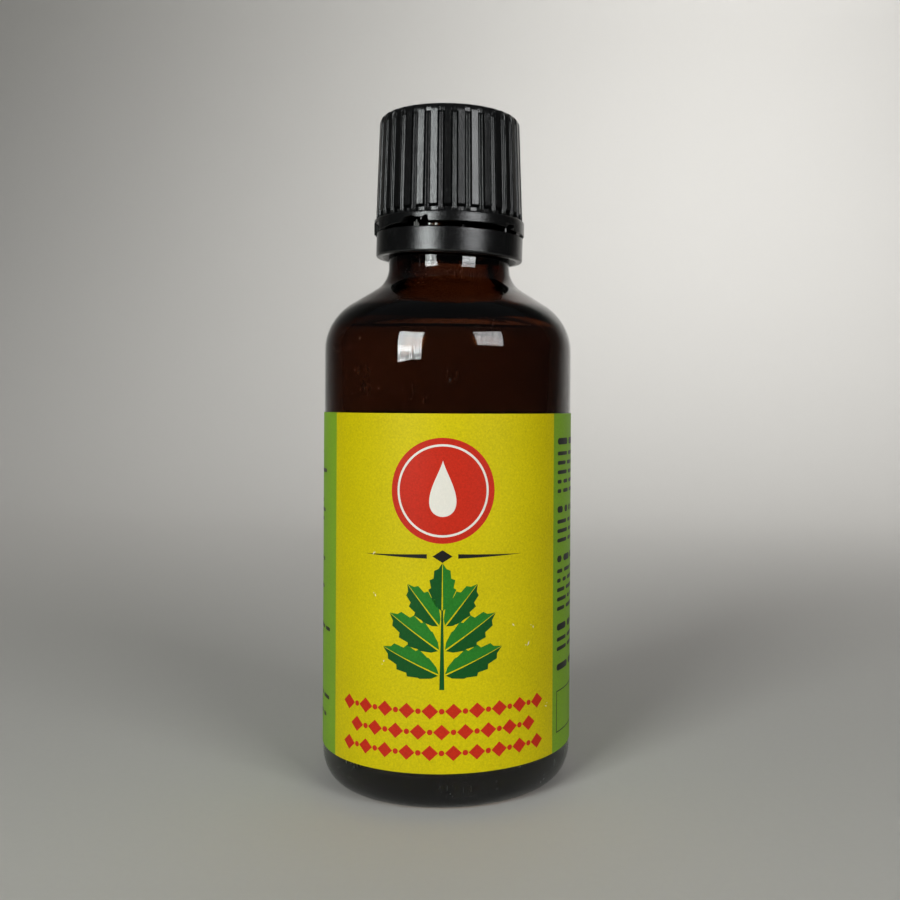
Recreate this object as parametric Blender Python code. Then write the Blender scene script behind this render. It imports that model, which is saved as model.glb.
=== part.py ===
"""A 50 ml amber glass tincture bottle with a dropper insert and a ribbed, tamper-evident screw cap.

Metres, +Z up. The origin is the centre of the foot, on the surface that the bottle stands on.
The front of the label faces -Y. Sizes below are in millimetres and MM turns them into metres.
Azimuths are in degrees from the front (-Y) towards +X.
"""

import math

import bmesh
import bpy
from mathutils import Matrix

MM = 0.001
ROUND_STEPS = 60
INSIDE_STEPS = 48

# Glass body
BODY_RADIUS = 18.4
WALL = 2.15
HEEL_WIDTH = 3.2
HEEL_HEIGHT = 4.3
FOOT_WIDTH = 2.4
PUSH_UP = 1.3
FLOOR_TOP = 3.6
FLOOR_CORNER = 3.0
SHOULDER_START = 63.1
SHOULDER_RADIUS = 8.0
SHOULDER_ANGLE = 58.0
INNER_SHOULDER_RADIUS = 3.5
NECK_RADIUS = 9.06
NECK_FILLET = 4.1
BORE_RADIUS = 5.85
BORE_FILLET = 3.0

# Neck finish above the shoulder
BEAD_RADIUS = 9.6
BEAD_BOTTOM = 78.6
BEAD_TOP = 79.8
FINISH_RADIUS = 8.0
FINISH_BOTTOM = 81.0
MOUTH_HEIGHT = 89.0
MOUTH_ROUND = 0.5

# Screw thread, shared by the neck and the cap
PITCH = 3.0
THREAD_START = 82.8
NECK_THREAD_TURNS = 1.5
NECK_THREAD_CREST = 8.9
CAP_THREAD_CREST = 8.3
CAP_THREAD_LEAD_DEG = -60.0
CAP_THREAD_TURNS = 420.0 / 360.0
CREST_WIDTH = 0.8
FLANK_WIDTH = 0.5
THREAD_STEP_DEG = 10.0
THREAD_FADE_DEG = 30.0
THREAD_SUNK = 0.25

# Contents, label and insert
FILL_LEVEL = 65.3
FIT_GAP = 0.3
LABEL_GAP = 0.03
LABEL_THICKNESS = 0.1
LABEL_BOTTOM = 5.6
LABEL_TOP = 53.95
LABEL_STEPS = ROUND_STEPS - 1
LABEL_START_DEG = 96.0
NOZZLE_TOP = 95.2
NOZZLE_BORE = 0.75
FLANGE_RADIUS = 7.4
FLANGE_THICKNESS = 1.0
STEM_RADIUS = 5.6
STEM_BOTTOM = 76.0
STEM_BORE = 4.6

# Tamper ring, which hangs a little askew round the neck
RING_RADIUS = 10.98
RING_INNER = 10.0
RING_HOOK = 9.45
RING_HEIGHT = 3.65
RING_BOTTOM = 76.83
RING_TILT_RIGHT_DEG = 1.5
RING_TILT_FRONT_DEG = 0.68
BRIDGE_COUNT = 9
BRIDGE_FIRST_DEG = 55.0
BRIDGE_WIDTH = 0.5
BRIDGE_DEPTH = 0.5
BRIDGE_TOP = 80.87

# Screw cap
COLLAR_RADIUS = 11.28
COLLAR_WALL_RADIUS = 11.06
COLLAR_RIM = 80.95
COLLAR_RIM_FRONT = 81.05
COLLAR_RIM_SIDES = 80.45
COLLAR_SHOULDER = 82.5
RIBS_BOTTOM = 82.85
PANELS_BOTTOM = 83.5
PAIRS_TOP = 96.5
CAP_TOP = 98.0
CAP_RADIUS_LOW = 10.98
CAP_RADIUS_HIGH = 10.5
CAP_TOP_ROUND = 1.1
RIB_PERIODS = 34
PAIR_AZIMUTH = 7.7
PAIR_HALF_DEG = 1.75
GROOVE_MID_DEG = 2.2
PANEL_HALF_DEG = 2.65
GROOVE_DEPTH = 0.45
STEP_HEIGHT = 0.08
SKIRT_INNER = 9.3
COLLAR_INNER = 10.1
CROWN_INNER = 8.0
CROWN_CEILING = 96.8
LINER_RADIUS = 7.6
LINER_BOTTOM = 95.5
LINER_TOP = 96.5

# Openings that the broken bridges left in the collar: centre azimuth, half width, top
BRIDGE_WINDOW = (56.0, 6.0, 81.35)
TORN_NOTCH = (-22.0, 10.5, 81.75)
LEFT_RECESS = (-72.5, 10.5, 82.0)


def clear_scene():
    for old in list(bpy.data.objects):
        bpy.data.objects.remove(old, do_unlink=True)


def make_material(name, colour, roughness, alpha=1.0, transmission=0.0):
    """A Principled material; none of the pieces is metal."""
    made = bpy.data.materials.new(name)
    made.use_nodes = True
    shader = made.node_tree.nodes["Principled BSDF"]
    shader.inputs["Base Color"].default_value = (*colour, 1.0)
    shader.inputs["Roughness"].default_value = roughness
    shader.inputs["Metallic"].default_value = 0.0
    shader.inputs["Alpha"].default_value = alpha
    shader.inputs["Transmission Weight"].default_value = transmission
    return made


def add_object(name, mesh, material=None):
    made = bpy.data.objects.new(name, mesh)
    bpy.context.scene.collection.objects.link(made)
    if material:
        mesh.materials.append(material)
    return made


def mesh_from_bmesh(name, bm):
    mesh = bpy.data.meshes.new(name)
    bm.to_mesh(mesh)
    bm.free()
    mesh.shade_smooth()
    mesh.set_sharp_from_angle(angle=math.radians(35))
    return mesh


def turned(name, profile, material=None, closed=False, steps=ROUND_STEPS, degrees=360.0):
    """An outline of (radius, height) turned about Z. It runs down the outer side."""
    mesh = bpy.data.meshes.new(name)
    points = [(radius * MM, 0.0, height * MM) for radius, height in profile]
    last = len(points) - 1
    edges = [(i, i + 1) for i in range(last)]
    if closed:
        edges.append((last, 0))
    mesh.from_pydata(points, edges, [])
    made = add_object(name, mesh, material)
    screw = made.modifiers.new("turn", "SCREW")
    screw.angle = math.radians(degrees)
    screw.steps = steps
    screw.render_steps = steps
    screw.use_merge_vertices = True
    screw.merge_threshold = 0.000001
    screw.use_smooth_shade = True
    return made


def arc(centre, radii, start_deg, end_deg, steps):
    """Points of (radius, height) along an elliptic arc, from the angle above the horizontal."""
    points = []
    for i in range(steps + 1):
        angle = math.radians(start_deg + (end_deg - start_deg) * i / steps)
        points.append((centre[0] + radii[0] * math.cos(angle), centre[1] + radii[1] * math.sin(angle)))
    return points


def boolean(target, other, operation):
    """Adds a Boolean to target and hides the other shape, which only serves it."""
    modifier = target.modifiers.new(other.name, "BOOLEAN")
    modifier.operation = operation
    modifier.solver = "EXACT"
    modifier.object = other
    other.hide_render = True
    other.display_type = "WIRE"


def at_azimuth(radius, azimuth_deg, height):
    """A point in metres, at an azimuth counted from the front towards +X."""
    angle = math.radians(azimuth_deg)
    return (radius * MM * math.sin(angle), -radius * MM * math.cos(angle), height * MM)


def thread_ridge(name, wall_radius, crest_radius, first_deg, turns, start_height):
    """A helical ridge of trapezoid section whose height fades in and out at its ends."""
    bm = bmesh.new()
    outward = 1.0 if crest_radius > wall_radius else -1.0
    steps = round(turns * 360.0 / THREAD_STEP_DEG)
    rows = []
    for i in range(steps + 1):
        turned_deg = i * THREAD_STEP_DEG
        left_deg = (steps - i) * THREAD_STEP_DEG
        fade = min(1.0, turned_deg / THREAD_FADE_DEG, left_deg / THREAD_FADE_DEG)
        crest = wall_radius + (crest_radius - wall_radius) * (0.1 + 0.9 * fade)
        sunk = wall_radius - outward * THREAD_SUNK
        half_crest = CREST_WIDTH / 2
        half_root = half_crest + FLANK_WIDTH * (abs(crest - sunk) / abs(crest_radius - wall_radius))
        angle = math.radians(first_deg + turned_deg)
        middle = start_height + PITCH * (first_deg + turned_deg) / 360.0
        section = ((sunk, -half_root), (sunk, half_root), (crest, half_crest), (crest, -half_crest))
        rows.append([
            bm.verts.new((
                radius * MM * math.cos(angle),
                radius * MM * math.sin(angle),
                (middle + offset) * MM,
            ))
            for radius, offset in section
        ])
    bm.faces.new(rows[0])
    bm.faces.new(reversed(rows[-1]))
    for lower, upper in zip(rows, rows[1:]):
        for i in range(4):
            j = (i + 1) % 4
            bm.faces.new((lower[i], lower[j], upper[j], upper[i]))
    bmesh.ops.recalc_face_normals(bm, faces=bm.faces)
    return add_object(name, mesh_from_bmesh(name, bm))


def block(name, azimuth_deg, radius, sizes, bottom):
    """A box at an azimuth: sizes are its width round the axis, its depth and its height."""
    width, depth, height = sizes
    bm = bmesh.new()
    bmesh.ops.create_cube(bm, size=MM)
    bmesh.ops.scale(bm, vec=(width, depth, height), verts=bm.verts)
    bmesh.ops.translate(bm, vec=(0.0, -radius * MM, (bottom + height / 2) * MM), verts=bm.verts)
    turn = Matrix.Rotation(math.radians(azimuth_deg), 3, "Z")
    bmesh.ops.rotate(bm, cent=(0.0, 0.0, 0.0), matrix=turn, verts=bm.verts)
    return add_object(name, mesh_from_bmesh(name, bm))


def shoulder(body_radius, arc_radius, neck_radius, fillet, start_height, steps):
    """The outline from the neck down over the shoulder to the body: fillet, cone and round."""
    slope = math.radians(SHOULDER_ANGLE)
    round_centre = (body_radius - arc_radius, start_height)
    cone_low_radius = round_centre[0] + arc_radius * math.cos(slope)
    cone_low_height = round_centre[1] + arc_radius * math.sin(slope)
    corner_height = cone_low_height + (cone_low_radius - neck_radius) / math.tan(slope)
    fillet_height = corner_height + fillet * math.tan(slope / 2)
    fillet_centre = (neck_radius + fillet, fillet_height)
    upper = arc(fillet_centre, (fillet, fillet), 180.0, 180.0 + SHOULDER_ANGLE, steps[0])
    lower = arc(round_centre, (arc_radius, arc_radius), SHOULDER_ANGLE, 0.0, steps[1])
    return upper + lower


def inner_outline(clearance=0.0):
    """The inside of the glass from the floor's centre up its wall, held back by a clearance."""
    radius = BODY_RADIUS - WALL - clearance
    floor = FLOOR_TOP + clearance
    corner = arc((radius - FLOOR_CORNER, floor + FLOOR_CORNER), (FLOOR_CORNER, FLOOR_CORNER), -90.0, 0.0, 3)
    over = shoulder(radius, INNER_SHOULDER_RADIUS - clearance, BORE_RADIUS - clearance,
                    BORE_FILLET + clearance, SHOULDER_START, (3, 4))
    return [(0.0, floor)] + corner + over[::-1]


def cut_at_height(outline, height):
    """The outline up to a height, closed on the axis by a level surface."""
    kept = [outline[0]]
    for lower, upper in zip(outline, outline[1:]):
        if upper[1] < height:
            kept.append(upper)
            continue
        share = (height - lower[1]) / (upper[1] - lower[1])
        kept.append((lower[0] + (upper[0] - lower[0]) * share, height))
        break
    return kept + [(0.0, height)]


def make_glass_bottle():
    glass = make_material("amber glass", (0.16, 0.045, 0.008), 0.05, alpha=0.6, transmission=0.8)
    finish = [
        (FINISH_RADIUS - MOUTH_ROUND, MOUTH_HEIGHT),
        (FINISH_RADIUS, MOUTH_HEIGHT - MOUTH_ROUND),
        (FINISH_RADIUS, FINISH_BOTTOM),
        (BEAD_RADIUS, BEAD_TOP),
        (BEAD_RADIUS, BEAD_BOTTOM + 0.2),
        (BEAD_RADIUS - 0.2, BEAD_BOTTOM),
        (NECK_RADIUS, BEAD_BOTTOM),
    ]
    outside = shoulder(BODY_RADIUS, SHOULDER_RADIUS, NECK_RADIUS, NECK_FILLET, SHOULDER_START, (4, 6))
    heel_centre = (BODY_RADIUS - HEEL_WIDTH, HEEL_HEIGHT)
    heel = arc(heel_centre, (HEEL_WIDTH, HEEL_HEIGHT), 0.0, -90.0, 5)
    foot_inner = BODY_RADIUS - HEEL_WIDTH - FOOT_WIDTH
    push_up = [(foot_inner, 0.0), (foot_inner - 1.6, 0.8), (foot_inner - 5.0, PUSH_UP), (0.0, PUSH_UP)]
    mouth = [(BORE_RADIUS, MOUTH_HEIGHT - MOUTH_ROUND), (BORE_RADIUS + MOUTH_ROUND, MOUTH_HEIGHT)]
    bottle = turned("glass_bottle", inner_outline() + mouth + finish + outside + heel + push_up, glass)
    ridge = thread_ridge("neck_thread_shape", FINISH_RADIUS, NECK_THREAD_CREST, 0.0,
                         NECK_THREAD_TURNS, THREAD_START)
    boolean(bottle, ridge, "UNION")


def make_tincture():
    liquid = make_material("dark tincture", (0.05, 0.018, 0.006), 0.1)
    outline = cut_at_height(inner_outline(FIT_GAP), FILL_LEVEL)
    turned("tincture", outline[::-1], liquid, steps=INSIDE_STEPS)


def make_label():
    paper = make_material("printed label", (0.60, 0.51, 0.01), 0.45)
    radius = BODY_RADIUS + LABEL_GAP
    sheet = turned("label", [(radius, LABEL_TOP), (radius, LABEL_BOTTOM)], paper,
                   steps=LABEL_STEPS, degrees=360.0 * LABEL_STEPS / ROUND_STEPS)
    sheet.rotation_euler.z = math.radians(LABEL_START_DEG)
    solid = sheet.modifiers.new("paper thickness", "SOLIDIFY")
    solid.thickness = LABEL_THICKNESS * MM
    solid.offset = 1.0


def make_dropper_insert(plastic):
    flange_bottom = MOUTH_HEIGHT + FIT_GAP
    flange_top = flange_bottom + FLANGE_THICKNESS
    outline = [
        (1.55, NOZZLE_TOP),
        (1.8, NOZZLE_TOP - 0.25),
        (3.0, flange_top + 0.6),
        (3.6, flange_top),
        (FLANGE_RADIUS - 0.2, flange_top),
        (FLANGE_RADIUS, flange_top - 0.2),
        (FLANGE_RADIUS, flange_bottom),
        (STEM_RADIUS, flange_bottom),
        (STEM_RADIUS, STEM_BOTTOM + 1.4),
        (STEM_RADIUS - 0.4, STEM_BOTTOM),
        (STEM_BORE, STEM_BOTTOM),
        (STEM_BORE, flange_bottom - 0.6),
        (NOZZLE_BORE, flange_top + 1.2),
        (NOZZLE_BORE, NOZZLE_TOP),
    ]
    turned("dropper_insert", outline, plastic, closed=True, steps=36)


def make_tamper_ring(plastic):
    outline = [
        (RING_RADIUS - 0.15, RING_HEIGHT),
        (RING_RADIUS, RING_HEIGHT - 0.15),
        (RING_RADIUS, 0.35),
        (RING_RADIUS - 0.3, 0.0),
        (RING_INNER + 0.05, 0.0),
        (RING_HOOK, 0.85),
        (RING_HOOK, 1.35),
        (RING_INNER, 1.5),
        (RING_INNER, RING_HEIGHT),
    ]
    ring = turned("tamper_ring", outline, plastic, closed=True)
    right = math.radians(RING_TILT_RIGHT_DEG)
    front = math.radians(RING_TILT_FRONT_DEG)
    ring.rotation_euler = (front, right, 0.0)
    ring.location.z = RING_BOTTOM * MM
    middle = (RING_RADIUS + RING_INNER) / 2
    for i in range(BRIDGE_COUNT):
        azimuth = BRIDGE_FIRST_DEG + 360.0 * i / BRIDGE_COUNT
        top_x, top_y, _ = at_azimuth(middle, azimuth, 0.0)
        ring_top = RING_BOTTOM + RING_HEIGHT + (top_y * math.sin(front) - top_x * math.sin(right)) / MM
        sizes = (BRIDGE_WIDTH, BRIDGE_DEPTH, BRIDGE_TOP - ring_top + 0.4)
        if BRIDGE_TOP - ring_top > 0.15:
            stub = block(f"bridge_stub_{i + 1}", azimuth, middle, sizes, ring_top - 0.4)
            boolean(ring, stub, "UNION")


def collar_rim(azimuth_deg):
    """Height of the collar's outer edge, which a cut left higher at the front than elsewhere."""
    azimuth = (azimuth_deg + 180.0) % 360.0 - 180.0
    if abs(azimuth - LEFT_RECESS[0]) < LEFT_RECESS[1]:
        return LEFT_RECESS[2]
    share = min(1.0, max(0.0, (abs(azimuth) - 35.0) / 35.0))
    eased = share * share * (3.0 - 2.0 * share)
    return COLLAR_RIM_FRONT + (COLLAR_RIM_SIDES - COLLAR_RIM_FRONT) * eased


def cap_radius(height):
    """The cap's outer radius, which narrows evenly from the collar to the crown."""
    share = (height - RIBS_BOTTOM) / (PAIRS_TOP - RIBS_BOTTOM)
    return CAP_RADIUS_LOW + (CAP_RADIUS_HIGH - CAP_RADIUS_LOW) * share


def rib_points():
    """Azimuth and kind of each point round the cap: a pair of thin ribs, a groove, a flat panel."""
    period = 360.0 / RIB_PERIODS
    points = []
    for i in range(RIB_PERIODS):
        middle = PAIR_AZIMUTH + i * period
        points.append((middle - GROOVE_MID_DEG, "groove"))
        points.append((middle - PAIR_HALF_DEG, "pair"))
        points.append((middle + PAIR_HALF_DEG, "pair"))
        points.append((middle + GROOVE_MID_DEG, "groove"))
        points.append((middle + PANEL_HALF_DEG, "panel"))
        points.append((middle + period - PANEL_HALF_DEG, "panel"))
    return points


def cap_levels():
    """Each level of the outside is a function of azimuth and kind that gives radius and height."""
    def ribbed(height, pairs_out, panels_out):
        outer = cap_radius(height)

        def level(azimuth, kind):
            stands_out = (kind == "pair" and pairs_out) or (kind == "panel" and panels_out)
            return (outer if stands_out else outer - GROOVE_DEPTH), height
        return level

    levels = [
        lambda azimuth, kind: (COLLAR_WALL_RADIUS, COLLAR_RIM),
        lambda azimuth, kind: (COLLAR_WALL_RADIUS + 0.01, collar_rim(azimuth)),
        lambda azimuth, kind: (COLLAR_RADIUS, collar_rim(azimuth) + 0.02),
        lambda azimuth, kind: (COLLAR_RADIUS, COLLAR_SHOULDER),
        ribbed(RIBS_BOTTOM, True, False),
        ribbed(PANELS_BOTTOM - STEP_HEIGHT, True, False),
        ribbed(PANELS_BOTTOM, True, True),
        ribbed(PAIRS_TOP - 0.3, True, True),
        ribbed(PAIRS_TOP, False, True),
    ]
    crown_radius = cap_radius(PAIRS_TOP) - CAP_TOP_ROUND
    for angle_deg in (15.0, 50.0, 90.0):
        angle = math.radians(angle_deg)
        outer = crown_radius + CAP_TOP_ROUND * math.cos(angle)
        height = CAP_TOP - CAP_TOP_ROUND + CAP_TOP_ROUND * math.sin(angle)
        groove = GROOVE_DEPTH * math.cos(angle) ** 2
        levels.append(lambda azimuth, kind, outer=outer, height=height, groove=groove: (
            outer if kind == "panel" else outer - groove, height))
    return levels


def make_cap_outside():
    """The ribbed outside of the cap, closed by flat faces below and above."""
    bm = bmesh.new()
    rings = []
    for level in cap_levels():
        ring = []
        for azimuth, kind in rib_points():
            radius, height = level(azimuth, kind)
            ring.append(bm.verts.new(at_azimuth(radius, azimuth, height)))
        rings.append(ring)
    for lower, upper in zip(rings, rings[1:]):
        for i in range(len(lower)):
            j = (i + 1) % len(lower)
            bm.faces.new((lower[i], lower[j], upper[j], upper[i]))
    bm.faces.new(reversed(rings[0]))
    bm.faces.new(rings[-1])
    bmesh.ops.recalc_face_normals(bm, faces=bm.faces)
    return mesh_from_bmesh("screw_cap", bm)


def make_screw_cap(plastic):
    cap = add_object("screw_cap", make_cap_outside(), plastic)
    inside = [
        (0.0, CROWN_CEILING),
        (LINER_RADIUS, CROWN_CEILING),
        (LINER_RADIUS + 0.3, CROWN_CEILING - 0.3),
        (LINER_RADIUS + 0.3, LINER_BOTTOM - 0.1),
        (LINER_RADIUS - 0.1, LINER_BOTTOM - 0.3),
        (LINER_RADIUS - 0.1, LINER_BOTTOM - 0.5),
        (CROWN_INNER, LINER_BOTTOM - 0.9),
        (CROWN_INNER, MOUTH_HEIGHT + 1.4),
        (SKIRT_INNER, MOUTH_HEIGHT + 0.4),
        (SKIRT_INNER, RIBS_BOTTOM - 0.25),
        (COLLAR_INNER, RIBS_BOTTOM - 0.85),
        (COLLAR_INNER, COLLAR_RIM - 2.0),
        (0.0, COLLAR_RIM - 2.0),
    ]
    boolean(cap, turned("cap_inside_cutter", inside, steps=INSIDE_STEPS), "DIFFERENCE")
    ridge = thread_ridge("cap_thread_shape", SKIRT_INNER, CAP_THREAD_CREST, CAP_THREAD_LEAD_DEG,
                         CAP_THREAD_TURNS, THREAD_START + PITCH / 2)
    boolean(cap, ridge, "UNION")
    for name, (azimuth, half_deg, top) in (("window_cutter", BRIDGE_WINDOW), ("notch_cutter", TORN_NOTCH)):
        width = 2 * COLLAR_RADIUS * math.sin(math.radians(half_deg))
        bottom = COLLAR_RIM - 1.0
        boolean(cap, block(name, azimuth, COLLAR_RADIUS, (width, 3.0, top - bottom), bottom), "DIFFERENCE")
    middle = (COLLAR_INNER + COLLAR_WALL_RADIUS) / 2
    stub_bottom = COLLAR_RIM + 0.05
    stub_height = BRIDGE_WINDOW[2] + 0.3 - stub_bottom
    stub = block("cap_bridge_stub", BRIDGE_FIRST_DEG, middle, (BRIDGE_WIDTH, BRIDGE_DEPTH, stub_height),
                 stub_bottom)
    boolean(cap, stub, "UNION")


def make_cap_liner():
    foam = make_material("white sealing foam", (0.82, 0.82, 0.80), 0.7)
    outline = [
        (0.0, LINER_TOP),
        (LINER_RADIUS, LINER_TOP),
        (LINER_RADIUS, LINER_BOTTOM),
        (0.0, LINER_BOTTOM),
    ]
    turned("cap_liner", outline, foam, steps=36)


def main():
    clear_scene()
    black = make_material("black polypropylene", (0.012, 0.012, 0.013), 0.38)
    make_glass_bottle()
    make_tincture()
    make_label()
    make_dropper_insert(black.copy())
    make_tamper_ring(black)
    make_screw_cap(black.copy())
    make_cap_liner()


main()
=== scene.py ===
"""The looks of a small amber glass tincture bottle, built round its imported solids.

Lengths are in millimetres until MM turns them into metres. Azimuths are in degrees from the front of
the bottle (-Y) towards +X. A place on the label is (along, height): millimetres round the paper from
the middle of its design, and millimetres above the foot.
"""
import math
import random

import bmesh
import bpy
from mathutils import Euler, Matrix, Vector


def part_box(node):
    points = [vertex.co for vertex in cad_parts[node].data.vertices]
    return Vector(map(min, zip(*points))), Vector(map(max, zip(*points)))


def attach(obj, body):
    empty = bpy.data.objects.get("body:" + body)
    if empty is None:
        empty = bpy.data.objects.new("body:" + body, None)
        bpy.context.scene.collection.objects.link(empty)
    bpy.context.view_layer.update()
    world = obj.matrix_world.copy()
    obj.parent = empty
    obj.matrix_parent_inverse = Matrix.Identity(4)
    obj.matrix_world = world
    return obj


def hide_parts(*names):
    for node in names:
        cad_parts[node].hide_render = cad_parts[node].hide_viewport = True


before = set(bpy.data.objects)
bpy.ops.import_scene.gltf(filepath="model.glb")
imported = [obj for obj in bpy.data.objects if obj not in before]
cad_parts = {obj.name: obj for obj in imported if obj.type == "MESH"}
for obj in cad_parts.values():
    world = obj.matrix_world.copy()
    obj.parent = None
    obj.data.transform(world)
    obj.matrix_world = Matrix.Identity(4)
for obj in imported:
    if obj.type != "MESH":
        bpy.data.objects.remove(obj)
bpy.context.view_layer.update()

MM = 0.001


def node_size(node):
    """Outer radius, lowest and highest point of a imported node, in millimetres."""
    low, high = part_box(node)
    return high.x / MM, low.z / MM, high.z / MM


# Glass bottle
BODY_RADIUS, _, MOUTH = node_size("glass_bottle")
WALL = 2.15
HEEL = (3.2, 4.3)
FOOT_WIDTH = 2.4
PUSH_UP = 1.3
FLOOR_TOP = 3.6
FLOOR_CORNER = 3.0
SHOULDER_START = 63.1
SHOULDER_RADIUS = 8.0
SHOULDER_ANGLE = 58.0
INNER_SHOULDER_RADIUS = 4.7
NECK_RADIUS = 9.06
NECK_FILLET = 4.1
BORE_RADIUS = 5.85
BORE_FILLET = 6.0
BEAD_RADIUS = 9.6
BEAD = (78.6, 79.8)
FINISH_RADIUS = 8.0
FINISH_BOTTOM = 81.0
SEAMS = (76.0, 256.0)
SEAM_HEIGHT = 0.025
SEAM_HALF_DEG = 0.55
GLASS_WAVE = 0.13
FOOT_STIPPLES = 72
FOOT_STIPPLE_DEPTH = 0.09

# Screw thread, shared by the neck and the cap
PITCH = 3.0
THREAD_START = 82.8
NECK_THREAD = {"first": 0.0, "turns": 1.5, "start": THREAD_START, "crest": 0.9}
CAP_THREAD = {"first": -60.0, "turns": 420.0 / 360.0, "start": THREAD_START + PITCH / 2, "crest": 1.0}
CREST_HALF = 0.4
FLANK = 0.45
THREAD_FADE_DEG = 30.0

# Tincture, label and insert
FILL_LEVEL = 65.4
WETTING = 0.05
MENISCUS = 0.45
LABEL_RADIUS, LABEL_BOTTOM, LABEL_TOP = node_size("label")
PAPER_INNER = LABEL_RADIUS - 0.10
PAPER_OUTER = LABEL_RADIUS - 0.035
INK_LIFT = 0.008
OVERPRINT_LIFT = 0.015
DESIGN_AZIMUTH = 1.9
YELLOW_EDGES_DEG = (-54.1, 57.9)
LABEL_SEAM_DEG = (-171.0, 183.0)
LABEL_CORNER = 1.5
WRAP_STEP = 0.45

INSERT_RADIUS, _, NOZZLE_TOP = node_size("dropper_insert")
FIT_GAP = 0.3
FLANGE_THICKNESS = 1.0
STEM_RADIUS = 5.6
STEM_BOTTOM = 77.0
STEM_BORE = 4.6
NOZZLE_BORE = 0.75
AIR_GROOVE = {"middle": 140.0, "depth": 0.35, "top": 88.4}
LINER_RADIUS, LINER_BOTTOM, LINER_TOP = node_size("cap_liner")

# Tamper ring, askew round the neck
RING_RADIUS = 10.98
RING_INNER = 10.0
RING_HOOK = 9.45
RING_HEIGHT = 3.65
RING_BOTTOM = 76.83
RING_TILT_RIGHT_DEG = 1.5
RING_TILT_FRONT_DEG = 0.68
BRIDGE_COUNT = 9
BRIDGE_FIRST_DEG = 55.0
BRIDGE_TOP = 80.85

# Torn plastic in the notch: each strand's azimuth, tip height and width
CURL_STRANDS = ((-23.2, 81.05, 0.32), (-21.6, 81.3, 0.26), (-20.2, 80.85, 0.3))
CURL_FOOT = 80.0
NOTCH_SCRAP = (-17.6, 81.32, 0.34)

# Screw cap
COLLAR_RADIUS, _, CAP_TOP = node_size("screw_cap")
COLLAR_INNER = 10.1
COLLAR_WALL_RADIUS = 11.06
COLLAR_RIM = 80.95
COLLAR_RIM_FRONT = 81.05
COLLAR_RIM_SIDES = 80.47
COLLAR_SHOULDER = 82.5
RIBS_BOTTOM = 82.85
PANELS_BOTTOM = 83.5
RIBS_TOP = 96.85
CAP_RADIUS_LOW = 10.98
CAP_RADIUS_HIGH = 10.5
CROWN_ROUND = 1.1
RIB_PERIODS = 34
FIRST_PAIR_AZIMUTH = 7.7
GROOVE_DEPTH = 0.45
RIB_MIDDLE_DEG = 1.10
RIB_HALF_DEG = 0.72
RIB_HEIGHT = 0.21
SKIRT_INNER = 9.3
CROWN_INNER = 8.0
CROWN_CEILING = 96.8
TORN_NOTCH = {"middle": -22.0, "half": 10.5, "top": 81.75}
BRIDGE_WINDOW = {"middle": 56.0, "half": 6.0, "top": 81.35}
LEFT_RECESS = {"middle": -72.5, "half": 10.5, "top": 82.0}

# Camera, from a fit of the bottle's outline to the photograph's 900 x 900 frame
CAMERA_PLACE = (11.543, -160.0, 55.441)
CAMERA_PITCH = 0.0051
CAMERA_ROLL = 0.0056
CAMERA_LENS = 42.315
CAMERA_SHIFT = (-0.0833, -0.0464)

# Height that the lamp panels face, and the angle past which an edge stays sharp
LAMPS_AIM = 60.0
SMOOTH_LIMIT_DEG = 32.0


# Shapes

def at_azimuth(radius, azimuth, height):
    """A point in metres, at an azimuth counted from the front towards +X."""
    angle = math.radians(azimuth)
    return (radius * MM * math.sin(angle), -radius * MM * math.cos(angle), height * MM)


def arc(centre, radii, start_deg, end_deg, steps):
    """Points of (radius, height) along an elliptic arc, from the angle above the horizontal."""
    points = []
    for i in range(steps + 1):
        angle = math.radians(start_deg + (end_deg - start_deg) * i / steps)
        points.append((centre[0] + radii[0] * math.cos(angle), centre[1] + radii[1] * math.sin(angle)))
    return points


def straight(start, end, steps):
    """Evenly spaced points from start to end, both included."""
    return [
        (start[0] + (end[0] - start[0]) * i / steps, start[1] + (end[1] - start[1]) * i / steps)
        for i in range(steps + 1)
    ]


def eased(value, low, high):
    """0 below low, 1 above high, and a smooth step between them."""
    share = min(1.0, max(0.0, (value - low) / (high - low)))
    return share * share * (3.0 - 2.0 * share)


def from_middle(azimuth, middle):
    """Signed degrees from a middle azimuth, between -180 and 180."""
    return (azimuth - middle + 180.0) % 360.0 - 180.0


def new_object(name, data):
    """An object in the scene that holds this data."""
    made = bpy.data.objects.new(name, data)
    bpy.context.scene.collection.objects.link(made)
    return made


def smooth_mesh(name, bm, materials):
    """A smoothly shaded mesh from a bmesh, which it uses up."""
    mesh = bpy.data.meshes.new(name)
    bm.to_mesh(mesh)
    bm.free()
    for material in materials:
        mesh.materials.append(material)
    mesh.shade_smooth()
    return mesh


def finished_object(name, bm, materials, body, replaces=()):
    """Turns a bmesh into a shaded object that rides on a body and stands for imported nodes."""
    bmesh.ops.recalc_face_normals(bm, faces=bm.faces)
    mesh = smooth_mesh(name, bm, materials)
    mesh.set_sharp_from_angle(angle=math.radians(SMOOTH_LIMIT_DEG))
    made = new_object(name, mesh)
    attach(made, body)
    if replaces:
        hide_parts(*replaces)


def bridge_rings(bm, lower, upper):
    """Faces between two rings of vertices; a ring of one vertex is a pole."""
    count = max(len(lower), len(upper))
    for i in range(count):
        j = (i + 1) % count
        if len(lower) == 1:
            bm.faces.new((lower[0], upper[j], upper[i]))
        elif len(upper) == 1:
            bm.faces.new((lower[i], lower[j], upper[0]))
        else:
            bm.faces.new((lower[i], lower[j], upper[j], upper[i]))


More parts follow.
